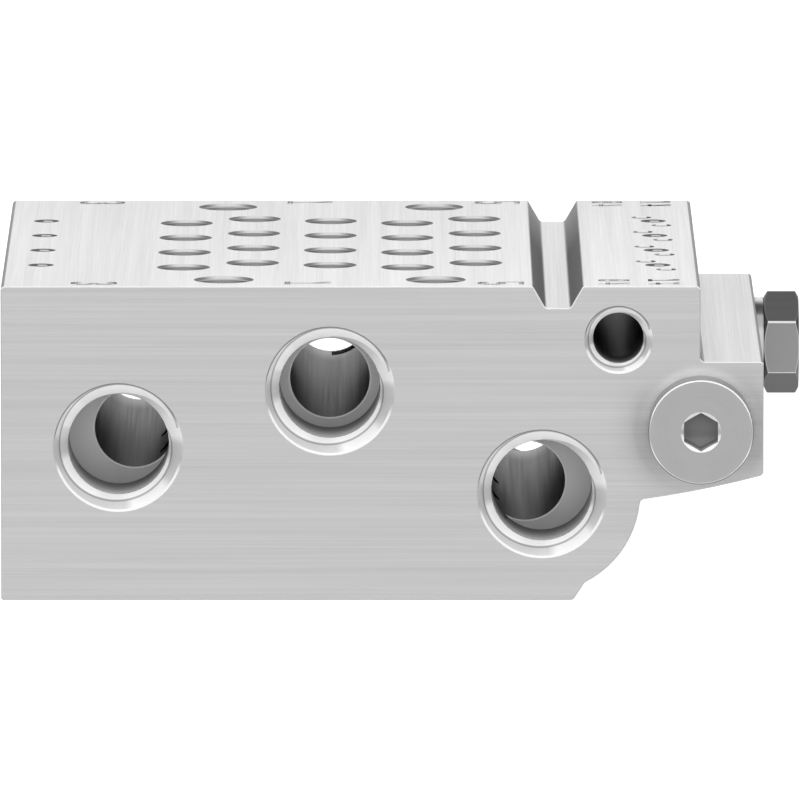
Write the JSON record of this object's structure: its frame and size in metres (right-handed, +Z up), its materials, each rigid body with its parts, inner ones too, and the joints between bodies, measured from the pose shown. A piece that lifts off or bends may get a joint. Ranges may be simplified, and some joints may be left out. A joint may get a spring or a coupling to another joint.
{
  "type": "valve manifold base",
  "caption": "Drilled aluminium manifold rail for narrow spool valves, with threaded supply, exhaust and pilot ports in both end faces, a stepped side and screwed blanking plugs.",
  "frame": {"origin": "middle of the four mounting holes, on the base face", "axes": "+X to the right of the front face, +Y from the front end face to the rear one, along the bores, +Z up, out of the valve face"},
  "size_m": [0.0686, 0.068, 0.0268],
  "materials": {
    "block_aluminium": "machined and clear anodised, fine brushed grain",
    "plug_steel": "turned, satin",
    "seal_ring": "polished metal sealing ring"
  },
  "bodies": {
    "root": {"manifold_block": "block_aluminium", "front_pilot_plug": "plug_steel", "rear_pilot_plug": "plug_steel", "cross_plug": "plug_steel", "front_pilot_seal": "seal_ring", "rear_pilot_seal": "seal_ring", "cross_plug_seal": "seal_ring"}
  },
  "joints": []
}
